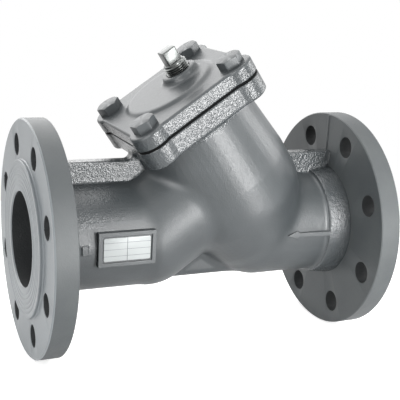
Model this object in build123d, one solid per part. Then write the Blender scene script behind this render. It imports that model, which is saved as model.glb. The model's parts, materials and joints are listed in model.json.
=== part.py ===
from build123d import *
from math import cos, radians, sin, sqrt, tan
import os

# Flanged Y-strainer, DN80 PN16, grey cast iron. Millimetres.
# +X runs along the pipe axis from the outlet to the inlet, +Z is up, and the origin is the
# centre of the outlet flange's bolted face, which its raised face stands proud of. The branch
# that holds the screen leans back over the outlet, and the body is symmetrical about XZ.

# Pipe run
face_to_face = 310.0
bore_d = 80.0
neck_wall = 6.5
flange_d = 200.0
flange_t = 22.0  # over the raised face
raised_d = 132.0
raised_h = 3.0
pitch_circle_d = 160.0
flange_hole_d = 19.0
flange_hole_count = 8
flange_edge = 1.2  # bevel of the turned rim, on the gasket side
neck_flare = 5.0  # bevel between flange and neck
collar_wall = 12.0  # stiffening collar beside the inlet flange
collar_length = 20.0
collar_edge = 1.5

# Branch
branch_angle = 55.0  # between the branch axis and the pipe axis
branch_x = 210.3  # where the two axes cross
port_rise = 2.5  # from the recess round the screen to the outlet port
port_wall = 7.5  # the outlet elbow is thicker than the straight neck
mouth_gap = 4.4  # round the screen's rings, where they come out
mouth_wall = 5.5
mouth_depth = 30.0
belly_swell = 4.0  # the cored chamber is this much wider than its mouth
belly_wall = 7.5
belly_low = 30.0  # and widest between these heights, measured up the branch axis
belly_high = 60.0
shoulder_low = -10.0  # the barrel narrows from the belly to the inlet elbow, down to here
joint_height = 137.0  # machined face that takes the gasket
joint_flange_t = 17.0
seat_height = 14.0  # where the screen stands
seat_floor = 8.0  # wall between inlet and outlet under the seat
seat_socket = 4.0  # depth of the recess that centres the screen
seat_land = 6.0  # the throat through that wall is this much smaller than the screen

# Ribs in the middle plane
rib_t = 12.0
outlet_rib_drop = 0.8  # from the lower corner of the joint to its top
inlet_rib_rise = 19.5
rib_climb = 12.0  # how far the outlet rib runs up the side of the joint
rib_blend = 5.0
web_inset = 1.0  # the lower web stops this much above the bottom of the necks

# Square joint with a lobe round each screw
bolt_land = 6.2  # between the mouth and a screw
joint_land = 7.5  # from the mouth to the straight sides
lobe_wall = 10.3
lobe_blend = 6.0
joint_edge = 1.5  # bevel of the cast rims
gasket_t = 2.0
gasket_inset = 0.4
gasket_gap = 1.0  # round the mouth

# Cover
cover_rim_t = 12.5
cover_disc_d = 78.0
cover_disc_h = 3.0
cover_wall = 7.5
boss_d = 32.0
boss_h = 6.5  # above the raised disc
boss_offset = 15.0  # the plug sits towards the high side of the cover
boss_blend = 2.5
ring_socket_depth = 3.0

# M12 hexagon screws
screw_d = 12.0
screw_length = 30.0
head_width = 19.0
head_h = 8.0
screw_play = 0.75
thread_clearance = 0.05

# 1/2 inch pipe plug with a square head
plug_d = 21.0
plug_inside = 13.0
plug_proud = 8.3  # threaded length left above the boss
square_width = 13.0
square_h = 12.0
square_bevel = 1.2

# Screen basket
screen_d = 88.0
screen_sheet = 1.0
mesh_t = 0.6
mesh_gap = 0.1
ring_t = 1.5
ring_h = 8.0
ring_gap = 0.1
ring_play = 0.3  # between a ring and the recess that holds it
window_width = 13.0
window_height = 13.0
window_columns = 14
window_rows = 6

# Cast details
plate_x = 73.0
plate_z = 1.0
plate_length = 40.0
plate_height = 19.5
plate_t = 0.8
plate_play = 1.2
plate_recess = 1.6
frame_border = 3.5
frame_proud = 3.5  # above the neck
arrow_x = 223.0  # its tip
arrow_z = -1.0
arrow_length = 44.0
arrow_head_length = 11.0
arrow_head_width = 9.0
arrow_shaft_width = 4.0
mark_x = 38.2
mark_z = 1.0
mark_length = 5.0
mark_height = 8.4
relief_h = 1.2

outlet_x = -raised_h
inlet_x = face_to_face - raised_h
tilt = radians(90 - branch_angle)
bore_r = bore_d / 2
neck_r = bore_r + neck_wall
collar_r = bore_r + collar_wall
port_r = bore_r + port_wall
screen_r = screen_d / 2
throat_r = screen_r - seat_land
ring_r = screen_r + ring_gap + ring_t
socket_r = ring_r + ring_play
mouth_r = ring_r + mouth_gap
belly_r = mouth_r + belly_swell
screw_r = screw_d / 2
bolt_spacing = sqrt(2) * (mouth_r + bolt_land + screw_r)
joint_half_width = mouth_r + joint_land
lobe_r = screw_r + lobe_wall
plug_r = plug_d / 2
inlet_rib_top = neck_r + inlet_rib_rise
floor_height = seat_height + seat_socket
port_height = floor_height + port_rise + bore_r
bend_x = branch_x - port_height / sin(tilt)
bend_to_branch = port_height / tan(tilt)
joint_low = joint_height - joint_flange_t
cover_seat = joint_height + gasket_t
cover_top = cover_seat + cover_rim_t
disc_top = cover_top + cover_disc_h
boss_top = disc_top + boss_h
screen_top = cover_seat + ring_socket_depth - ring_play
screen_low = seat_height + ring_play
beyond = 1.0  # how far a cut runs past the face it opens

# Frames: up the branch, out of each pipe end, and along the bent outlet port
branch = Plane(origin=(branch_x, 0, 0), x_dir=(cos(tilt), 0, sin(tilt)), z_dir=(-sin(tilt), 0, cos(tilt)))
outlet_end = Plane(origin=(outlet_x, 0, 0), x_dir=(0, 1, 0), z_dir=(-1, 0, 0))
inlet_end = Plane(origin=(inlet_x, 0, 0), x_dir=(0, 1, 0), z_dir=(1, 0, 0))
port = Plane(origin=(bend_x, 0, 0), x_dir=(0, 1, 0), z_dir=(cos(tilt), 0, sin(tilt)))
plug_frame = branch * Pos(boss_offset, 0, boss_top)


def rod(frame, radius, low, high):
    """Cylinder about a frame's z axis, between two heights."""
    return frame * Pos(0, 0, (low + high) / 2) * Cylinder(radius, high - low)


def turned(*points):
    """Outline of (radius, height) points turned about the z axis."""
    return revolve(Plane.XZ * make_face(Polyline(*points, close=True)), Axis.Z)


def upright(*points):
    """Rib with an outline in the XZ plane, centred on it."""
    return extrude(Plane.XZ * make_face(Polyline(*points, close=True)), rib_t / 2, both=True)


def on_branch(x, z):
    """Point of the XZ plane from its place in the branch frame."""
    return (branch_x + x * cos(tilt) - z * sin(tilt), x * sin(tilt) + z * cos(tilt))


def screw_places():
    return GridLocations(bolt_spacing, bolt_spacing, 2, 2)


def joint_outline(shrink=0.0):
    """Square with a lobe round each screw, shared by body, gasket and cover."""
    width = 2 * (joint_half_width - shrink)
    outline = Rectangle(width, bolt_spacing) + Rectangle(bolt_spacing, width)
    for place in screw_places():
        outline += place * Circle(lobe_r - shrink)
    return fillet(outline.vertices(), lobe_blend)


def corner_round(face, corner, radius):
    """Round the corner of a flat outline that lies nearest a point."""
    return fillet(face.vertices().sort_by_distance((*corner, 0))[0], radius)


def pipe_end(length, collared):
    """Flange with its raised face, and the neck behind it, in a pipe end's frame."""
    flange_r = flange_d / 2
    root_r = collar_r if collared else neck_r
    outline = [(raised_d / 2, 0), (raised_d / 2, -raised_h)]
    outline += [(flange_r - flange_edge, -raised_h), (flange_r, -raised_h - flange_edge)]
    outline += [(flange_r, -flange_t), (root_r + neck_flare, -flange_t), (root_r, -flange_t - neck_flare)]
    if collared:
        collar_end = -flange_t - collar_length
        outline += [(collar_r, collar_end + collar_edge), (collar_r - collar_edge, collar_end)]
        outline += [(neck_r, collar_end)]
    return turned((0, 0), *outline, (neck_r, -length), (0, -length))


def flange_holes():
    """Bolt holes that straddle the vertical centreline."""
    step = 360 / flange_hole_count
    places = PolarLocations(pitch_circle_d / 2, flange_hole_count, start_angle=step / 2)
    return [place * Cylinder(flange_hole_d / 2, 2 * (flange_t + beyond)) for place in places]


def outer_body():
    """The casting before its passages are cored out."""
    outlet = outlet_end * pipe_end(bend_x - outlet_x, False)
    elbow = Pos(bend_x, 0, 0) * Sphere(port_r) + rod(port, port_r, 0, bend_to_branch)
    inlet = inlet_end * pipe_end(inlet_x - branch_x, True)
    turn = Pos(branch_x, 0, 0) * Sphere(neck_r)
    barrel = branch * turned(
        (0, shoulder_low),
        (neck_r, shoulder_low),
        (belly_r + belly_wall, belly_low),
        (belly_r + belly_wall, belly_high),
        (mouth_r + mouth_wall, joint_low + joint_edge),
        (0, joint_low + joint_edge),
    )
    joint = extrude(joint_outline(), joint_flange_t)
    joint = chamfer(joint.edges().group_by(Axis.Z)[0], joint_edge)
    joint = branch * Pos(0, 0, joint_low) * joint
    return outlet + elbow + inlet + turn + barrel + joint


def ribs():
    """Stiffening ribs over both necks and the web between the two elbows below."""
    buried = neck_r - neck_wall / 2
    joint_corner = on_branch(-joint_half_width, joint_low)
    climb = on_branch(-joint_half_width, joint_low + rib_climb)
    top = joint_corner[1] - outlet_rib_drop
    run_up = joint_corner[0] + outlet_rib_drop * tan(tilt)
    outlet_side = make_face(
        Polyline(
            (outlet_x + flange_t / 2, buried),
            (outlet_x + flange_t / 2, top),
            (run_up, top),
            climb,
            on_branch(-mouth_r - mouth_wall, joint_low + rib_climb),
            (branch_x, buried),
            close=True,
        )
    )
    outlet_side = corner_round(outlet_side, (run_up, top), rib_blend)
    outlet_rib = extrude(Plane.XZ * outlet_side, rib_t / 2, both=True)
    inlet_back = inlet_x - flange_t / 2
    inlet_rib = upright((branch_x, buried), (branch_x, inlet_rib_top), (inlet_back, inlet_rib_top), (inlet_back, buried))
    web_low = web_inset - neck_r
    web = upright((bend_x, web_low), (branch_x, web_low), (branch_x, 0), (bend_x, 0))
    return outlet_rib + inlet_rib + web


def reliefs():
    """Name plate frame, flow arrow and foundry mark, raised on the near side of the necks."""
    frame_face = neck_r + frame_proud
    depth = frame_face - bore_r - neck_wall / 2
    length = plate_length + 2 * (plate_play + frame_border)
    height = plate_height + 2 * (plate_play + frame_border)
    frame = Pos(plate_x, depth / 2 - frame_face, plate_z) * Box(length, depth, height)
    well = Box(plate_length + 2 * plate_play, 2 * plate_recess, plate_height + 2 * plate_play)
    frame -= Pos(plate_x, -frame_face, plate_z) * well
    half_head = arrow_head_width / 2
    half_shaft = arrow_shaft_width / 2
    points = [(0, 0), (arrow_head_length, half_head), (arrow_head_length, half_shaft), (arrow_length, half_shaft)]
    points += [(x, -z) for x, z in reversed(points[1:])]
    outline = make_face(Polyline(*points, close=True))
    skin = rod(inlet_end, neck_r + relief_h, -face_to_face, 0)
    arrow = extrude(Pos(arrow_x, 0, arrow_z) * Plane.XZ * outline, neck_r + 2 * relief_h) & skin
    mark = Pos(mark_x, -neck_r, mark_z) * Box(mark_length, neck_wall, mark_height) & skin
    return frame + arrow + mark


def passages():
    """Inlet elbow, throat and seat, screen chamber, bent outlet port and both bores."""
    under_floor = seat_height - seat_floor
    inlet = rod(inlet_end, bore_r, branch_x - inlet_x, beyond)
    inlet += Pos(branch_x, 0, 0) * Sphere(bore_r)
    inlet += rod(branch, bore_r, 0, under_floor)
    inlet -= rod(branch, face_to_face, under_floor, face_to_face)
    throat = rod(branch, throat_r, under_floor - beyond, seat_height + beyond)
    socket = rod(branch, socket_r, seat_height, floor_height + beyond)
    chamber = branch * turned(
        (0, floor_height),
        (mouth_r, floor_height),
        (belly_r, belly_low),
        (belly_r, belly_high),
        (mouth_r, joint_height - mouth_depth),
        (mouth_r, joint_height + beyond),
        (0, joint_height + beyond),
    )
    outlet = rod(outlet_end, bore_r, outlet_x - bend_x, beyond)
    outlet += Pos(bend_x, 0, 0) * Sphere(bore_r)
    outlet += rod(port, bore_r, 0, bend_to_branch)
    return inlet + throat + socket + chamber + outlet


def make_body():
    body = outer_body() + ribs() + reliefs() - passages()
    body -= [end * hole for end in (outlet_end, inlet_end) for hole in flange_holes()]
    thread_r = screw_r + thread_clearance
    body -= [rod(branch * place, thread_r, joint_low - beyond, joint_height + beyond) for place in screw_places()]
    return body


def make_gasket():
    sheet = extrude(joint_outline(gasket_inset), gasket_t)
    sheet -= Cylinder(mouth_r + gasket_gap, 3 * gasket_t)
    sheet -= [place * Cylinder(screw_r + screw_play, 3 * gasket_t) for place in screw_places()]
    return branch * Pos(0, 0, joint_height) * sheet


def make_cover():
    """Square rim, a low raised disc with an offset boss, and a cored underside."""
    disc_r = cover_disc_d / 2
    rim = extrude(joint_outline(), cover_rim_t)
    rim = chamfer(rim.edges().group_by(Axis.Z)[-1], joint_edge)
    disc = turned((0, 0), (disc_r + cover_disc_h, 0), (disc_r, cover_disc_h), (0, cover_disc_h))
    cover = rim + Pos(0, 0, cover_rim_t) * disc
    disc_plane = cover_rim_t + cover_disc_h
    boss_r = boss_d / 2
    boss = turned(
        (0, -cover_disc_h),
        (boss_r + boss_blend, -cover_disc_h),
        (boss_r + boss_blend, 0),
        (boss_r, boss_blend),
        (boss_r, boss_h - joint_edge),
        (boss_r - joint_edge, boss_h),
        (0, boss_h),
    )
    cover += Pos(boss_offset, 0, disc_plane) * boss
    cover -= Cylinder(socket_r, 2 * ring_socket_depth)
    cover -= Cylinder(throat_r, 2 * (disc_plane - cover_wall))
    cover -= Pos(boss_offset, 0, disc_plane) * Cylinder(plug_r + thread_clearance, 4 * cover_wall)
    cover -= [place * Cylinder(screw_r + screw_play, 3 * cover_rim_t) for place in screw_places()]
    return branch * Pos(0, 0, cover_seat) * cover


def make_screw():
    """Hexagon screw, its head standing on z = 0."""
    head = extrude(RegularPolygon(head_width / 2, 6, major_radius=False), head_h)
    return head + Pos(0, 0, (head_h - screw_length) / 2) * Cylinder(screw_r, screw_length)


def make_plug():
    """Plug with a square head, its shank coming out of the boss at z = 0."""
    neck_d = square_width * sqrt(2)
    shank = turned(
        (0, -plug_inside),
        (plug_r, -plug_inside),
        (plug_r, plug_proud - plug_r + neck_d / 2),
        (neck_d / 2, plug_proud),
        (0, plug_proud),
    )
    head = Pos(0, 0, plug_proud + square_h / 2) * Box(square_width, square_width, square_h)
    return shank + chamfer(head.edges().group_by(Axis.Z)[-1], square_bevel)


def tube(outer, wall, low, high):
    return rod(branch, outer, low, high) - rod(branch, outer - wall, low - beyond, high + beyond)


def make_screen_tube():
    """Rolled support sheet with staggered rows of punched windows between the end rings."""
    sheet = tube(screen_r, screen_sheet, screen_low, screen_top)
    low = screen_low + ring_h
    row_step = (screen_top - screen_low - 2 * ring_h) / window_rows
    column_step = 360 / window_columns
    punch = Box(4 * screen_sheet, window_width, window_height)
    holes = []
    for row in range(window_rows):
        for column in range(window_columns):
            turn = Rot(0, 0, (column + row % 2 / 2) * column_step)
            holes.append(branch * Pos(0, 0, low + (row + 0.5) * row_step) * turn * Pos(screen_r, 0, 0) * punch)
    return sheet - holes


parts = {
    "body": make_body(),
    "cover": make_cover(),
    "cover_gasket": make_gasket(),
    "drain_plug": plug_frame * make_plug(),
    "screen_tube": make_screen_tube(),
    "screen_mesh": tube(screen_r - screen_sheet - mesh_gap, mesh_t, screen_low, screen_top),
    "screen_low_ring": tube(ring_r, ring_t, screen_low, screen_low + ring_h),
    "screen_top_ring": tube(ring_r, ring_t, screen_top - ring_h, screen_top),
    "name_plate": Pos(plate_x, plate_recess - neck_r - frame_proud - plate_t / 2, plate_z)
    * Box(plate_length, plate_t, plate_height),
}
for number, place in enumerate(screw_places(), 1):
    parts[f"cover_screw_{number}"] = branch * place * Pos(0, 0, cover_top) * make_screw()

os.makedirs("parts", exist_ok=True)
for node, solid in parts.items():
    export_step(solid, f"parts/{node}.step")
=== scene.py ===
import json
from math import cos, hypot, pi, radians

import bmesh
import bpy
from mathutils import Matrix, Vector
from mathutils.bvhtree import BVHTree
from mathutils.kdtree import KDTree


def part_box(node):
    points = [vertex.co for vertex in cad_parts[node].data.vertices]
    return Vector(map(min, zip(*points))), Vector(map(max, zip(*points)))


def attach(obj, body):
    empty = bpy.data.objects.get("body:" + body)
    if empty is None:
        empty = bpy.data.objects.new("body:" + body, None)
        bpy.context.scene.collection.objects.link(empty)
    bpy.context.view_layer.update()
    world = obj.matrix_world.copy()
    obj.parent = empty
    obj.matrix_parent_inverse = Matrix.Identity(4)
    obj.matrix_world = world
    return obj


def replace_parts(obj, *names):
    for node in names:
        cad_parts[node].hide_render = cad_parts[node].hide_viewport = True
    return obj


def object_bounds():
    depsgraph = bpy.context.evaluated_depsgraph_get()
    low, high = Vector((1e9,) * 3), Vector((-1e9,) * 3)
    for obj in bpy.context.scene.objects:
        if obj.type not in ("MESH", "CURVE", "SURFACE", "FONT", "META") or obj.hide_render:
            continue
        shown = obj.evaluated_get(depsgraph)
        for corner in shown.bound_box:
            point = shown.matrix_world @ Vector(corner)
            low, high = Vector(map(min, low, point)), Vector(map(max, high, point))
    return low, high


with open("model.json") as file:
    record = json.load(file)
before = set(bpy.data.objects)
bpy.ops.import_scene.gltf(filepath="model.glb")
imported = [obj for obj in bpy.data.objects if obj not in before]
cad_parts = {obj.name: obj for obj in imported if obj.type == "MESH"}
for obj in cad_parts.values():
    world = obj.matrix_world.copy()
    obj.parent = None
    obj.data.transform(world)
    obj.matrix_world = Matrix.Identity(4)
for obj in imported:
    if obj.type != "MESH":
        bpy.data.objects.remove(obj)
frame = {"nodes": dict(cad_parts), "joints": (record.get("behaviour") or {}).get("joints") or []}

cad_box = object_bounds()
cad = frame["nodes"]

# The body is one grey iron casting, sand cast with its passages cored out and sprayed with enamel.
# It is the CAD solid with its corners melted into foundry fillets. The two flanges are left out of
# that and turned apart below, so that their machined edges stay crisp.
mm = 0.001
bore_r = 40 * mm
flange_t = 22 * mm
face_x = {"outlet": -3 * mm, "inlet": 307 * mm}
outward = {"outlet": -1, "inlet": 1}
neck_r = 46.5 * mm
collar_r = 52 * mm
root_r = 52.6 * mm  # the casting meets a flange's back inside this circle
flare = 5 * mm
sand_skin = 0.8 * mm
smoothings = 2  # passes that take the voxels' steps away
fillets = ((-1, 7 * mm, 70), (1, 15 * mm, 220))  # side of the branch, reach from the corner, passes
rib_half = 6 * mm
collar_length = 20 * mm
collar_x = face_x["inlet"] - flange_t - collar_length
collar_taper = 2.6 * mm  # narrower at its far end than beside the flange
ramp_reach = 5 * mm
ramp_passes = 40
barrel_span = (60 * mm, 256 * mm)  # along the pipe, where its foot melts into the elbows
barrel_top = 29 * mm  # below the joint, where that ends
gritty_rim = 20 * mm  # below the joint, where the sand lay open
casting_triangles = 190000

branch_foot = Vector((210.3 * mm, 0, 0))
branch_up = Vector(frame["joints"][0]["axis"])
branch_side = Vector((branch_up.z, 0, -branch_up.x))
branch = Matrix.Translation(branch_foot) @ Matrix((branch_side, (0, 1, 0), branch_up)).transposed().to_4x4()
to_branch = branch.inverted()
port_height = 60.5 * mm
bend = Vector((branch_foot.x + port_height / branch_up.x, 0, 0))
joint_height = 137 * mm
seat_height = 14 * mm
belly_r = 54 * mm
recess_r = 46 * mm  # round the foot of the screen


def linear(code):
    """sRGB hex colour as linear light."""
    channels = [int(code[i : i + 2], 16) / 255 for i in (1, 3, 5)]
    return (*(c / 12.92 if c <= 0.04045 else ((c + 0.055) / 1.055) ** 2.4 for c in channels), 1)


def add(tree, kind, inputs=None, **settings):
    """One more node with its settings, its inputs given a value or a link. Returns the node."""
    node = tree.nodes.new("ShaderNode" + kind)
    for name, value in settings.items():
        setattr(node, name, value)
    for name, value in (inputs or {}).items():
        if isinstance(value, bpy.types.Node):
            value = next(output for output in value.outputs if output.enabled)
        if isinstance(value, bpy.types.NodeSocket):
            tree.links.new(value, node.inputs[name])
        else:
            node.inputs[name].default_value = value
    return node


def blank(name):
    """A new material's empty tree, and the piece's own coordinates in it."""
    material = bpy.data.materials.new(name)
    material.use_nodes = True
    tree = material.node_tree
    tree.nodes.clear()
    return material, tree, add(tree, "TexCoord").outputs["Object"]


def shade(tree, **sockets):
    shader = add(tree, "BsdfPrincipled", {name.replace("_", " "): value for name, value in sockets.items()})
    add(tree, "OutputMaterial", {"Surface": shader})


def lumps(tree, place, width, detail=2.0):
    """Soft noise with lumps of this width."""
    return add(tree, "TexNoise", {"Vector": place, "Scale": 1 / width, "Detail": detail, "Roughness": 0.5})


def tint(tree, factor, low, high):
    """Colour that runs between two with a 0 to 1 factor."""
    ramp = add(tree, "ValToRGB", {"Fac": factor})
    ramp.color_ramp.elements[0].color = linear(low)
    ramp.color_ramp.elements[1].color = linear(high)
    ramp.color_ramp.elements[0].position = 0.3
    ramp.color_ramp.elements[1].position = 0.7
    return ramp.outputs["Color"]


def enamel(name, dark, light, relief, roughness):
    """Semi-gloss grey enamel sprayed over sand-cast iron, which it follows: pebbly in the highlights,
    and most of all where the form's own grain says that the sand lay open."""
    material, tree, place = blank(name)
    pebbles = lumps(tree, place, 3.2 * mm)
    sand = lumps(tree, place, 1.1 * mm, 1.0)
    height = add(tree, "Math", {0: pebbles, 1: sand}, operation="ADD")
    grain = add(tree, "Attribute", attribute_name="grain").outputs["Fac"]
    strength = add(tree, "MapRange", {"Value": grain, "To Min": 0.2, "To Max": 0.8})
    bump = add(tree, "Bump", {"Height": height, "Distance": relief, "Strength": strength})
    cloud = lumps(tree, place, 30 * mm, 3.0)
    by_sand = add(tree, "MapRange", {"Value": sand, "To Min": roughness, "To Max": roughness + 0.15})
    by_grain = add(tree, "MapRange", {"Value": grain, "To Min": 0.0, "To Max": -0.18})
    gloss = add(tree, "Math", {0: by_sand, 1: by_grain}, operation="ADD")
    shade(tree, Base_Color=tint(tree, cloud, dark, light), Roughness=gloss, Normal=bump, IOR=1.6)
    return material


cast_enamel = enamel("enamel_on_cast_iron", "#383c3e", "#404446", 0.5 * mm, 0.33)


def cored_iron_and_painted_shade():
    """As-cast iron inside the passages and the drilled holes: rough, near black, with a little brown. The
    near black is partly painted shade, for the dark that falls deep inside them.
    """
    material, tree, place = blank("cored_iron_and_painted_shade")
    sand = lumps(tree, place, 1.6 * mm, 3.0)
    bump = add(tree, "Bump", {"Height": sand, "Distance": 0.3 * mm, "Strength": 1.0})
    cloud = lumps(tree, place, 18 * mm)
    shade(tree, Base_Color=tint(tree, cloud, "#15181a", "#202223"), Roughness=0.72, Normal=bump)
    return material


passage_iron_and_painted_shade = cored_iron_and_painted_shade()


def own_copy(node):
    """A CAD node's triangles, joined up, as a form of our own."""
    form = bmesh.new()
    form.from_mesh(cad[node].data)
    bmesh.ops.remove_doubles(form, verts=form.verts, dist=0.002 * mm)
    return form


def modified(form, kind, **settings):
    """The form after one of Blender's modifiers."""
    mesh = bpy.data.meshes.new("blank")
    form.to_mesh(mesh)
    form.free()
    work = bpy.data.objects.new("blank", mesh)
    work.vertex_groups.new(name="melt")
    bpy.context.scene.collection.objects.link(work)
    modifier = work.modifiers.new("step", kind)
    for name, value in settings.items():
        setattr(modifier, name, value)
    done = work.evaluated_get(bpy.context.evaluated_depsgraph_get())
    form = bmesh.new()
    form.from_mesh(done.to_mesh())
    done.to_mesh_clear()
    bpy.data.objects.remove(work)
    return form


def soften(form, verts, passes):
    for _ in range(passes):
        bmesh.ops.smooth_vert(form, verts=verts, factor=0.5, use_axis_x=True, use_axis_y=True,
                              use_axis_z=True)


def corners(form, wanted, steepest=radians(9)):
    """Points along the corners of a faceted form, where they are wanted."""
    points = []
    for edge in form.edges:
        start, end = (vert.co.copy() for vert in edge.verts)
        if edge.is_manifold and edge.calc_face_angle() > steepest and wanted((start + end) / 2):
            pieces = int((end - start).length / (2 * mm)) + 1
            points += [start.lerp(end, i / pieces) for i in range(pieces + 1)]
    return points


def melt(form, points, reach, passes, wanted):
    """Corners near the points melt into soft fillets, less and less towards the reach."""
    tree = KDTree(len(points))
    for index, point in enumerate(points):
        tree.insert(point, index)
    tree.balance()
    layer = form.verts.layers.deform.verify()
    for vert in form.verts:
        if wanted(vert.co):
            weight = 1 - tree.find(vert.co)[2] / reach
            if weight > 0:
                vert[layer][0] = min(1, 2 * weight)
    return modified(form, "SMOOTH", factor=0.5, iterations=passes, vertex_group="melt")


def piece(name, form, body, slot, *materials, crease=32):
    """A finished form as an object that rides on a CAD body."""
    mesh = bpy.data.meshes.new(name)
    form.to_mesh(mesh)
    form.free()
    mesh.shade_smooth()
    mesh.set_sharp_from_angle(angle=radians(crease))
    for material in materials:
        mesh.materials.append(material)
    thing = bpy.data.objects.new(name, mesh)
    bpy.context.scene.collection.objects.link(thing)
    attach(thing, body)
    return thing


def in_passage(place):
    """Whether a place on the casting lies on the wall of a passage."""
    slack = 1.2 * mm
    local = to_branch @ place
    from_port = place - bend
    along_port = from_port.dot(branch_side)
    if hypot(place.y, place.z) < bore_r + slack and not bend.x < place.x < branch_foot.x:
        return True
    if along_port > 0 and (from_port - branch_side * along_port).length < bore_r + slack and local.x < 0:
        return True
    if min(from_port.length, (place - branch_foot).length) < bore_r + slack:
        return True
    reach = belly_r + slack / 2 if local.z > seat_height else recess_r
    return seat_height / 2 < local.z < joint_height - slack / 2 and hypot(local.x, local.y) < reach


def on_rib(place, slack, lowest):
    return abs(place.y) < rib_half + slack and place.z > lowest


def between_tubes(place):
    """Whether a place is outside, where the barrel and elbows run together, away from the ribs."""
    if in_passage(place) or (to_branch @ place).z > joint_height - barrel_top:
        return False
    return barrel_span[0] < place.x < barrel_span[1] and not on_rib(place, 0.3 * mm, neck_r - 1 * mm)


def by_collar(place):
    """Whether a place is outside, where the neck swells to the collar beside the inlet flange."""
    outside = hypot(place.y, place.z) > neck_r - 2 * mm
    return outside and abs(place.x - collar_x) < ramp_reach and not on_rib(place, 0.3 * mm, neck_r - 1 * mm)


# Raised work on the near side of the necks, as centre and size in x and z
plate_frame = (73 * mm, 1 * mm, 50 * mm, 30 * mm)
flow_arrow = (243.4 * mm, -1 * mm, 41 * mm, 9.4 * mm)
foundry_mark = (38.2 * mm, 1 * mm, 5.4 * mm, 8.8 * mm)
reliefs = (plate_frame, flow_arrow, foundry_mark)
relief_bevel = 0.45 * mm


def on_relief(place, slack=0.0):
    return place.y < -bore_r and any(
        abs(place.x - x) < width / 2 and abs(place.z - z) < height / 2 + slack
        for x, z, width, height in reliefs
    )


def scaled_radius(vert, radius):
    """The vertex moved straight out from the pipe axis to a new radius."""
    share = radius / hypot(vert.co.y, vert.co.z)
    vert.co.y *= share
    vert.co.z *= share


def clear_reliefs(form):
    """The raised work taken down to the neck: it comes back crisp further on."""
    for vert in form.verts:
        if on_relief(vert.co, 1.6 * mm) and hypot(vert.co.y, vert.co.z) > neck_r:
            scaled_radius(vert, neck_r)


def taper_collar(form):
    for vert in form.verts:
        from_flange = face_x["inlet"] - flange_t - vert.co.x
        radius = collar_r - collar_taper * max(0, from_flange) / collar_length
        beside_flange = -mm < from_flange < collar_length + 2 * mm
        proud = radius < hypot(vert.co.y, vert.co.z) < collar_r + flare + mm
        if beside_flange and proud and not on_rib(vert.co, 0.5 * mm, 0):
            scaled_radius(vert, radius)


def make_casting():
    form = own_copy("body")
    soft_corners = corners(form, between_tubes)
    collar_step = corners(form, by_collar)
    form = modified(form, "REMESH", mode="VOXEL", voxel_size=sand_skin)
    soften(form, form.verts[:], smoothings)
    clear_reliefs(form)
    taper_collar(form)
    for side, reach, passes in fillets:
        def on_side(place):
            return between_tubes(place) and (to_branch @ place).x * side > 0

        form = melt(form, soft_corners, reach, passes, on_side)
    form = melt(form, collar_step, ramp_reach, ramp_passes, by_collar)
    form.normal_update()
    spare = []
    for vert in form.verts:
        for end, out in outward.items():
            inside = (vert.co.x - face_x[end]) * out + flange_t
            flat = abs(vert.normal.x) > 0.8 and hypot(vert.co.y, vert.co.z) > root_r
            if inside > 0.6 * mm or (inside > -1 * mm and flat):
                spare.append(vert)
            elif inside > -0.7 * mm:
                vert.co.x = face_x[end] - out * (flange_t - 0.2 * mm)
    bmesh.ops.delete(form, geom=spare, context="VERTS")
    return form


def set_grain(form, open_sand):
    grain = form.verts.layers.float.new("grain")
    for vert in form.verts:
        vert[grain] = float(open_sand(vert.co))


def on_open_sand(place):
    """Whether a place is on a rib, the collar or a side of the joint."""
    on_collar = place.x > collar_x - 0.5 * mm and hypot(place.y, place.z) > neck_r + 1.5 * mm
    by_joint = (to_branch @ place).z > joint_height - gritty_rim
    return on_collar or by_joint or on_rib(place, 2 * mm, neck_r)


def finish_casting(form):
    form = modified(form, "DECIMATE", ratio=casting_triangles / (2 * len(form.faces)))
    set_grain(form, on_open_sand)
    # The passage walls get the near-black iron: as-cast iron, and painted shade for the dark inside the
    # casting.
    for face in form.faces:
        face.material_index = int(in_passage(face.calc_center_median()))
    finishes = (cast_enamel, passage_iron_and_painted_shade)
    return piece("casting", form, "strainer_body", "cast_iron_painted", *finishes, crease=60)


def make_reliefs(skin):
    """The raised work, crisp, draped over the casting's skin."""
    form = own_copy("body")
    others = []
    for face in form.faces:
        place = face.calc_center_median()
        if not on_relief(place) or hypot(place.y, place.z) < neck_r + 0.03 * mm:
            others.append(face)
    bmesh.ops.delete(form, geom=others, context="FACES")
    bmesh.ops.dissolve_limit(form, angle_limit=radians(2), verts=form.verts, edges=form.edges)
    rims = [edge for edge in form.edges if edge.is_manifold and edge.calc_face_angle() > radians(40)]
    bmesh.ops.bevel(form, geom=rims, offset=relief_bevel, segments=2, profile=0.5, affect="EDGES",
                    material=-1)
    arrow_from = plate_frame[0] + plate_frame[2]
    for vert in form.verts:
        from_axis = hypot(vert.co.y, vert.co.z)
        if from_axis < neck_r + 0.03 * mm:
            scaled_radius(vert, neck_r - 0.4 * mm)
        elif vert.co.x > arrow_from:
            outwards = Vector((0, vert.co.y, vert.co.z)) / from_axis
            hit = skin.ray_cast(Vector((vert.co.x, 0, 0)) + outwards * 80 * mm, -outwards)[0]
            if hit:
                scaled_radius(vert, from_axis - neck_r + hypot(hit.y, hit.z) + 0.3 * mm)
    return piece("raised_cast_marks", form, "strainer_body", "cast_iron_painted", cast_enamel, crease=14)


casting_form = make_casting()
make_reliefs(BVHTree.FromBMesh(casting_form))
casting = finish_casting(casting_form)
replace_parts(casting, "body")

# Each flange is turned on a lathe: a raised face with fine concentric rings from the tool, a small
# bevel at the rim, and eight drilled bolt holes. It is sprayed with the same enamel as the casting,
# but its turned faces are drawn in a much lighter grey: painted reflection of the white surroundings.
flange_r = 100 * mm
raised_r = 66 * mm
raised_h = 3 * mm
bolt_circle_r = 80 * mm
bolt_hole_r = 9.5 * mm
bolt_holes = 8
rim_bevel = 1.2 * mm
gasket_rings = (46 * mm, 49.5 * mm, 54 * mm, 57.5 * mm, 61.5 * mm)
tool_step = 1.6 * mm  # drawn coarser than the real feed, so that it shows
wave_scale = 0.314  # a wave texture's Scale is this over its step


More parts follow.
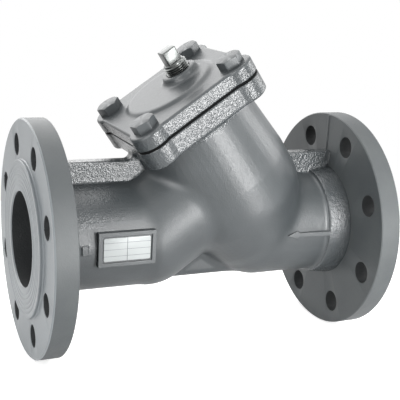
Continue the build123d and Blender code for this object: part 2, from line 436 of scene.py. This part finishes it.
def turned_enamel_painted_reflection():
    """Enamel over a turned face: smoother than the casting, with the tool's rings still in it, and a much
    lighter grey than the casting's enamel, as painted reflection of the white surroundings.
    """
    material, tree, place = blank("enamel_on_turned_iron_painted_reflection")
    rings = add(tree, "TexWave", {"Vector": place, "Scale": wave_scale / tool_step, "Distortion": 0.2},
                wave_type="RINGS", rings_direction="X")
    sand = lumps(tree, place, 1.4 * mm, 1.0)
    tooled = add(tree, "Bump", {"Height": rings, "Distance": 0.05 * mm, "Strength": 0.6})
    bump = add(tree, "Bump", {"Height": sand, "Distance": 0.1 * mm, "Strength": 1.0, "Normal": tooled})
    cloud = lumps(tree, place, 40 * mm, 3.0)
    shade(tree, Base_Color=tint(tree, cloud, "#72777a", "#7b8083"), Roughness=0.3, Normal=bump, IOR=1.5)
    return material


face_enamel_painted_reflection = turned_enamel_painted_reflection()
rim_enamel = enamel("enamel_on_cast_rim", "#3b3f41", "#444849", 0.3 * mm, 0.42)


def lathe(outline, steps, axis=(1, 0, 0), closed=True):
    """A form spun about an axis through the origin from its outline."""
    form = bmesh.new()
    verts = [form.verts.new(point) for point in outline]
    edges = [form.edges.new(pair) for pair in zip(verts, verts[1:])]
    if closed:
        edges.append(form.edges.new((verts[-1], verts[0])))
    bmesh.ops.spin(form, geom=verts + edges, cent=(0, 0, 0), axis=axis, dvec=(0, 0, 0), angle=2 * pi,
                   steps=steps, use_merge=True)
    bmesh.ops.remove_doubles(form, verts=form.verts, dist=0.001 * mm)
    bmesh.ops.recalc_face_normals(form, faces=form.faces)
    return form


def cut(form, cutter, operation="DIFFERENCE"):
    """The form with the cutter taken out of it, or what the two share."""
    mesh = bpy.data.meshes.new("cutter")
    cutter.to_mesh(mesh)
    cutter.free()
    tool = bpy.data.objects.new("cutter", mesh)
    bpy.context.scene.collection.objects.link(tool)
    form = modified(form, "BOOLEAN", operation=operation, solver="EXACT", object=tool)
    bpy.data.objects.remove(tool)
    return form


def make_flange(end):
    out = outward[end]
    face = face_x[end]
    shoulder = face - out * raised_h
    back = face - out * (flange_t - 0.03 * mm)
    rings = []
    for radius in gasket_rings:
        rings += [(face, radius - 0.5 * mm), (face - out * 0.3 * mm, radius), (face, radius + 0.5 * mm)]
    outline = [
        (back, bore_r), (face - out * mm, bore_r), (face, bore_r + mm), *rings,
        (face, raised_r - 0.6 * mm), (face - out * 0.6 * mm, raised_r),
        (shoulder + out * 0.8 * mm, raised_r), (shoulder, raised_r + 0.8 * mm),
        (shoulder, flange_r - rim_bevel), (shoulder - out * rim_bevel, flange_r),
        (back + out * 0.8 * mm, flange_r), (back, flange_r - 0.8 * mm),
    ]
    form = lathe([(x, 0, z) for x, z in outline], 144)
    drills = bmesh.new()
    middle = face - out * flange_t / 2
    for hole in range(bolt_holes):
        turn = Matrix.Rotation(2 * pi * (hole + 0.5) / bolt_holes, 4, "X")
        lay = Matrix.Translation((middle, 0, bolt_circle_r)) @ Matrix.Rotation(pi / 2, 4, "Y")
        bmesh.ops.create_cone(drills, cap_ends=True, segments=48, radius1=bolt_hole_r, radius2=bolt_hole_r,
                              depth=2 * flange_t, matrix=turn @ lay)
    form = cut(form, drills)
    rims = []
    for edge in form.edges:
        start, stop = (vert.co for vert in edge.verts)
        flat = abs(start.x - stop.x) < 0.01 * mm
        on_face = min(abs(start.x - shoulder), abs(start.x - back)) < 0.01 * mm
        at_hole = abs(hypot(start.y, start.z) - bolt_circle_r) < bolt_hole_r + 1.5 * mm
        if flat and on_face and at_hole and edge.calc_face_angle(0) > radians(60):
            rims.append(edge)
    bmesh.ops.bevel(form, geom=rims, offset=0.5 * mm, segments=2, profile=0.5, affect="EDGES", material=-1)
    # The bore and the walls of the bolt holes get the near-black iron, as painted shade for the dark inside
    # them.
    for wall in form.faces:
        place = wall.calc_center_median()
        from_axis = hypot(place.y, place.z)
        in_hole = abs(wall.normal.x) < 0.1 and raised_r + mm < from_axis < flange_r - 2 * mm
        if from_axis < bore_r + 0.3 * mm or in_hole:
            wall.material_index = 1
        elif abs(place.x - back) < 0.5 * mm or from_axis > flange_r - 0.5 * mm:
            wall.material_index = 2
    # The remaining faces keep the lighter turned enamel, a painted reflection of the white surroundings.
    finishes = (face_enamel_painted_reflection, passage_iron_and_painted_shade, rim_enamel)
    return piece(end + "_flange", form, "strainer_body", "cast_iron_painted", *finishes)


for end in face_x:
    make_flange(end)


def make_seam():
    """The mould's parting line, left as a low ridge on the back of the inlet flange above its rib."""
    low = 62 * mm
    high = flange_r - 1.5 * mm
    back = face_x["inlet"] - flange_t
    form = bmesh.new()
    lay = Matrix.Translation((back + 0.2 * mm, 0.6 * mm, (low + high) / 2))
    bmesh.ops.create_cube(form, size=1, matrix=lay @ Matrix.Diagonal((2 * mm, 2.2 * mm, high - low, 1)))
    bmesh.ops.bevel(form, geom=form.edges[:], offset=0.7 * mm, segments=3, profile=0.5,
                    affect="EDGES", material=-1)
    return piece("parting_ridge", form, "strainer_body", "cast_iron_painted", rim_enamel)


make_seam()

# The cover is a second casting in the same iron and enamel. Its corners are soft from the sand, and
# the boss for the drain plug runs into the raised disc in a wide hollow.
cover_top = 151.5 * mm
crown_r = 52 * mm
boss_top = 161 * mm
boss_offset = 15 * mm
cover_skin = 0.7 * mm
cover_melt = (5 * mm, 40)  # reach from the corner, passes
cover_triangles = 150000


def on_crown(place):
    """Whether a place is on top of the cover, inside its rim."""
    local = to_branch @ place
    return local.z > cover_top - 0.5 * mm and hypot(local.x, local.y) < crown_r


def make_cover():
    form = own_copy("cover")
    soft_corners = corners(form, on_crown)
    form = modified(form, "REMESH", mode="VOXEL", voxel_size=cover_skin)
    soften(form, form.verts[:], smoothings)
    form = melt(form, soft_corners, *cover_melt, on_crown)
    form = modified(form, "DECIMATE", ratio=min(1, cover_triangles / (2 * len(form.faces))))
    set_grain(form, lambda place: (to_branch @ place).z < cover_top - 2 * mm)
    return piece("cover_casting", form, "cover", "cast_iron_painted", cast_enamel, crease=60)


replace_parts(make_cover(), "cover")

# Four hexagon screws of steel hold the cover. They were sprayed over with the rest, so only their
# corners and the chamfer under the wrench tell them from the casting. The thread is hidden in the
# body until they are drawn.
screw_half = 43.98 * mm  # from the branch axis, both ways
screw_r = 6 * mm
screw_tooth = 0.9 * mm
screw_length = 30 * mm
head_h = 8 * mm
head_half = 9.5 * mm
across_corners = head_half / cos(pi / 6)
screw_pitch = 1.75 * mm
head_turns = (8, 22, 15, 4)  # degrees, as each happened to be tightened

screw_enamel = enamel("enamel_on_steel", "#393d3f", "#424648", 0.15 * mm, 0.38)


def steel(name, colour, roughness, scratch):
    """Bare or plated steel with fine irregular marks."""
    material, tree, place = blank(name)
    marks = lumps(tree, place, scratch, 4.0)
    bump = add(tree, "Bump", {"Height": marks, "Distance": 0.04 * mm, "Strength": 0.7})
    gloss = add(tree, "MapRange", {"Value": marks, "To Min": roughness - 0.08, "To Max": roughness + 0.14})
    shade(tree, Base_Color=linear(colour), Metallic=1.0, Roughness=gloss, Normal=bump)
    return material


screw_steel = steel("oiled_steel", "#7f7d78", 0.38, 1.5 * mm)


def thread(form, radius, depth, pitch, low, high, steps=20):
    """A screw thread: one tooth spun up the z axis."""
    root = radius - depth
    tooth = [(root, 0, 0), (radius, 0, pitch * 0.42), (radius, 0, pitch * 0.58), (root, 0, pitch)]
    turns = int((high - low) / pitch)
    verts = [form.verts.new((x, y, z + low)) for x, y, z in tooth]
    edges = [form.edges.new(pair) for pair in zip(verts, verts[1:])]
    bmesh.ops.spin(form, geom=verts + edges, cent=(0, 0, 0), axis=(0, 0, 1), dvec=(0, 0, pitch / steps),
                   angle=2 * pi * (turns - 1), steps=steps * (turns - 1))


def make_screw(number, x, y, turn):
    outline = [(0, 0), (across_corners - 0.1 * mm, 0), (across_corners - 0.1 * mm, head_h - 0.7 * mm),
               (head_half + 0.1 * mm, head_h), (0, head_h)]
    turned = lathe([(r, 0, z) for r, z in outline], 48, axis=(0, 0, 1), closed=False)
    form = bmesh.new()
    bmesh.ops.create_cone(form, cap_ends=True, segments=6, radius1=across_corners, radius2=across_corners,
                          depth=head_h, matrix=Matrix.Translation((0, 0, head_h / 2)))
    form = cut(form, turned, "INTERSECT")
    shank = len(form.faces)
    thread(form, screw_r, screw_tooth, screw_pitch, -screw_length, 0)
    for index, face in enumerate(form.faces):
        face.material_index = int(index >= shank)
    form.transform(branch @ Matrix.Translation((x, y, cover_top)) @ Matrix.Rotation(radians(turn), 4, "Z"))
    screw = piece(f"hexagon_screw_{number}", form, f"screw_{number}", "screws", screw_enamel, screw_steel)
    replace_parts(screw, f"cover_screw_{number}")


corner_places = [(x, y) for y in (-screw_half, screw_half) for x in (-screw_half, screw_half)]
for number in range(1, 5):
    low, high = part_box(f"cover_screw_{number}")
    local = to_branch @ ((low + high) / 2)
    x, y = min(corner_places, key=lambda p: hypot(p[0] - local.x, p[1] - local.y))
    make_screw(number, x, y, head_turns[number - 1])

# The drain plug is steel, bright zinc plated, with a 1/2 inch pipe thread and a square for the
# wrench. A few turns of its thread stay outside the boss.
plug_r = 10.5 * mm
plug_core = 9.3 * mm
plug_tooth = 1.2 * mm
plug_inside = 13 * mm
plug_proud = 8.3 * mm
plug_pitch = 1.81 * mm
square = 13 * mm
square_h = 12 * mm

zinc = steel("zinc_plated_steel", "#646665", 0.3, 3 * mm)


def make_plug():
    form = bmesh.new()
    lift = Matrix.Translation((0, 0, plug_proud + square_h / 2 - 0.5 * mm))
    size = Matrix.Diagonal((square, square, square_h + 1 * mm, 1))
    bmesh.ops.create_cube(form, size=1, matrix=lift @ size)
    bmesh.ops.bevel(form, geom=form.edges[:], offset=1 * mm, segments=3, profile=0.5, affect="EDGES",
                    material=-1)
    core = [(0, 0, -plug_inside), (plug_core, 0, -plug_inside), (plug_core, 0, plug_proud - 0.8 * mm),
            (plug_core - 1 * mm, 0, plug_proud), (0, 0, plug_proud)]
    verts = [form.verts.new(point) for point in core]
    edges = [form.edges.new(pair) for pair in zip(verts, verts[1:])]
    bmesh.ops.spin(form, geom=verts + edges, cent=(0, 0, 0), axis=(0, 0, 1), angle=2 * pi, steps=48,
                   use_merge=True)
    thread(form, plug_r, plug_tooth, plug_pitch, -plug_inside, plug_proud, steps=36)
    form.transform(branch @ Matrix.Translation((boss_offset, 0, boss_top)))
    return piece("square_plug", form, "plug", "zinc_plug", zinc)


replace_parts(make_plug(), "drain_plug")

# The gasket is a flat sheet of black fibre, cut to the outline of the joint.
def gasket_sheet():
    material, tree, place = blank("black_fibre_sheet")
    fibres = lumps(tree, place, 0.9 * mm, 3.0)
    bump = add(tree, "Bump", {"Height": fibres, "Distance": 0.05 * mm, "Strength": 1.0})
    shade(tree, Base_Color=tint(tree, fibres, "#060707", "#0d0e0e"), Roughness=0.9, Normal=bump,
          Specular_IOR_Level=0.1)
    return material


def finish_node(node, material):
    for slot in cad[node].material_slots:
        slot.material = material


finish_node("cover_gasket", gasket_sheet())

# The screen is a sleeve of stainless wire cloth in a rolled and punched stainless sheet, with a
# welded ring round each end. It stands in the branch and shows once the cover is off.
wire_step = 0.9 * mm  # drawn coarser than the real cloth's 0.6 mm
branch_lean = radians(35)


def wire_cloth():
    """Plain weave of warp and weft wires. The dark colour between the wires is painted shade, for the open
    holes of the cloth.
    """
    material, tree, place = blank("stainless_wire_cloth")
    mapped = add(tree, "Mapping", {"Vector": place, "Rotation": (0, branch_lean, 0)})
    along, across = (
        add(tree, "TexWave", {"Vector": mapped, "Scale": wave_scale / wire_step}, wave_type="BANDS",
            bands_direction=direction).outputs["Fac"]
        for direction in "ZY"
    )
    wires = add(tree, "Math", {0: along, 1: across}, operation="MAXIMUM")
    bump = add(tree, "Bump", {"Height": wires, "Distance": 0.2 * mm, "Strength": 1.0})
    # Dark between the wires: painted shade for the holes of the cloth.
    shade(tree, Base_Color=tint(tree, wires.outputs[0], "#3b3b39", "#b3b2ac"), Metallic=1.0,
          Roughness=0.38, Normal=bump)
    return material


def rolled_sheet():
    """Stainless sheet as it leaves the mill: satin, with faint lines round the roll."""
    material, tree, place = blank("stainless_sheet")
    along_roll = {"Vector": place, "Rotation": (0, branch_lean, 0), "Scale": (1, 1, 14)}
    long_place = add(tree, "Mapping", along_roll)
    lines = lumps(tree, long_place, 4 * mm, 3.0)
    bump = add(tree, "Bump", {"Height": lines, "Distance": 0.02 * mm, "Strength": 0.6})
    gloss = add(tree, "MapRange", {"Value": lines, "To Min": 0.24, "To Max": 0.42})
    shade(tree, Base_Color=linear("#b5b4b0"), Metallic=1.0, Roughness=gloss, Normal=bump)
    return material


finish_node("screen_mesh", wire_cloth())
sheet_steel = rolled_sheet()
for node in ("screen_tube", "screen_low_ring", "screen_top_ring"):
    finish_node(node, sheet_steel)

# The name plate is thin aluminium with a white baked face, pressed into its cast frame. It is blank
# but for a printed grid of fine grey rules.
plate_low, plate_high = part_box("name_plate")
plate_corner = 1.5 * mm
plate_rules = (("X", 17.5 * mm, 0.3 * mm), ("Z", 2.8 * mm, 0.16 * mm))  # across, spacing, half width


def plate_face():
    material, tree, place = blank("white_baked_aluminium")
    parts = add(tree, "SeparateXYZ", {"Vector": place})
    middle = (plate_low + plate_high) / 2
    rules = []
    for axis, spacing, width in plate_rules:
        centre = middle["XYZ".index(axis)]
        shifted = add(tree, "Math", {0: parts.outputs[axis], 1: centre}, operation="SUBTRACT")
        nearest = add(tree, "Math", {0: shifted, 1: spacing}, operation="PINGPONG")
        rules.append(add(tree, "Math", {0: nearest, 1: width}, operation="LESS_THAN"))
    ruled = add(tree, "Math", {0: rules[0], 1: rules[1]}, operation="MAXIMUM")
    dust = lumps(tree, place, 5 * mm, 3.0)
    bump = add(tree, "Bump", {"Height": dust, "Distance": 0.02 * mm, "Strength": 0.5})
    ramp = add(tree, "ValToRGB", {"Fac": ruled})
    ramp.color_ramp.elements[0].color = linear("#a0a4a4")
    ramp.color_ramp.elements[1].color = linear("#5f6365")
    shade(tree, Base_Color=ramp.outputs["Color"], Roughness=0.35, Normal=bump)
    return material


def make_plate():
    form = bmesh.new()
    size = plate_high - plate_low
    middle = (plate_low + plate_high) / 2
    bmesh.ops.create_cube(form, size=1, matrix=Matrix.Translation(middle) @ Matrix.Diagonal((*size, 1)))
    upright = [edge for edge in form.edges if abs(edge.verts[0].co.y - edge.verts[1].co.y) > size.y / 2]
    bmesh.ops.bevel(form, geom=upright, offset=plate_corner, segments=5, profile=0.5,
                    affect="EDGES", material=-1)
    front = [edge for edge in form.edges if all(vert.co.y < middle.y for vert in edge.verts)]
    bmesh.ops.bevel(form, geom=front, offset=0.15 * mm, segments=2, profile=0.5, affect="EDGES",
                    material=-1)
    return piece("blank_plate", form, "strainer_body", "plate", plate_face())


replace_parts(make_plate(), "name_plate")

# Studio: a white sweep under soft boxes, and a long lens at the photograph's angle.
camera_place = Vector((-152.74 * mm, -684.85 * mm, 218.76 * mm))
camera_heading = -24.365  # degrees, like the two below
camera_fall = 14.496
camera_roll = 3.015
camera_lens = 78.28
sensor = 36
floor_r = 0.5
floor_z = -flange_r

lens = bpy.data.cameras.new("camera")
lens.lens = camera_lens
lens.sensor_width = sensor
lens.sensor_fit = "HORIZONTAL"
lens.clip_start = 0.01
camera = bpy.data.objects.new("camera", lens)
heading = Matrix.Rotation(radians(camera_heading), 4, "Z")
fall = Matrix.Rotation(radians(90 - camera_fall), 4, "X")
roll = Matrix.Rotation(radians(camera_roll), 4, "Z")
camera.matrix_world = Matrix.Translation(camera_place) @ heading @ fall @ roll
bpy.context.scene.collection.objects.link(camera)
bpy.context.scene.camera = camera


def soft_box(name, place, aim, width, height, power):
    light = bpy.data.lights.new(name, "AREA")
    light.shape = "RECTANGLE"
    light.size = width
    light.size_y = height
    light.energy = power
    lamp = bpy.data.objects.new(name, light)
    lamp.location = place
    lamp.visible_camera = False
    lamp.rotation_euler = (Vector(aim) - Vector(place)).to_track_quat("-Z", "Y").to_euler()
    bpy.context.scene.collection.objects.link(lamp)


object_middle = (cad_box[0] + cad_box[1]) / 2
soft_box("right_low_strip", (0.38, -0.68, 0.035), (0.15, 0, 0.035), 0.18, 0.33, 4.5)
soft_box("right_high_strip", (0.38, -0.68, 0.36), (0.15, 0, 0.1), 0.18, 0.45, 3.2)
soft_box("far_right_box", (1.3, -0.1, 0.5), object_middle, 0.5, 0.8, 8)
soft_box("left_strip", (-0.9, -0.76, 0.35), object_middle, 0.4, 1.2, 11)
soft_box("top_box", (0.1, 0.1, 1.5), object_middle, 1.2, 1.0, 6.5)
soft_box("back_box", (-0.05, 1.4, 0.9), (0.1, 0.3, floor_z), 2.6, 1.6, 30)

world = bpy.data.worlds.new("studio")
world.use_nodes = True
world.node_tree.nodes.clear()
tree = world.node_tree
path = add(tree, "LightPath")
rays = {0: path.outputs["Is Camera Ray"], 1: path.outputs["Is Glossy Ray"]}
seen = add(tree, "Math", rays, operation="MAXIMUM")
level = add(tree, "Mix", {"Factor": seen, "A": 0.25, "B": 1.0}, data_type="FLOAT")
sky = add(tree, "Background", {"Color": linear("#ffffff"), "Strength": level})
add(tree, "OutputWorld", {"Surface": sky})
bpy.context.scene.world = world


def paper():
    """White paper sweep: pure white to the camera, but for the object's own shadow."""
    material, tree, place = blank("white_paper")
    shader = add(tree, "BsdfDiffuse", {"Color": linear("#f4f4f4")})
    glow = add(tree, "Emission", {"Color": linear("#ffffff"), "Strength": 0.55})
    path = add(tree, "LightPath")
    lit = add(tree, "AddShader", {0: shader, 1: glow})
    pick = add(tree, "MixShader", {"Fac": path.outputs["Is Camera Ray"], 1: shader, 2: lit})
    add(tree, "OutputMaterial", {"Surface": pick})
    return material


sweep = bmesh.new()
floor_middle = Matrix.Translation((object_middle.x, 0, floor_z))
bmesh.ops.create_circle(sweep, cap_ends=True, segments=96, radius=floor_r, matrix=floor_middle)
mesh = bpy.data.meshes.new("paper_sweep")
sweep.to_mesh(mesh)
sweep.free()
mesh.materials.append(paper())
floor = bpy.data.objects.new("paper_sweep", mesh)
bpy.context.scene.collection.objects.link(floor)

bpy.context.scene.view_settings.view_transform = "Standard"
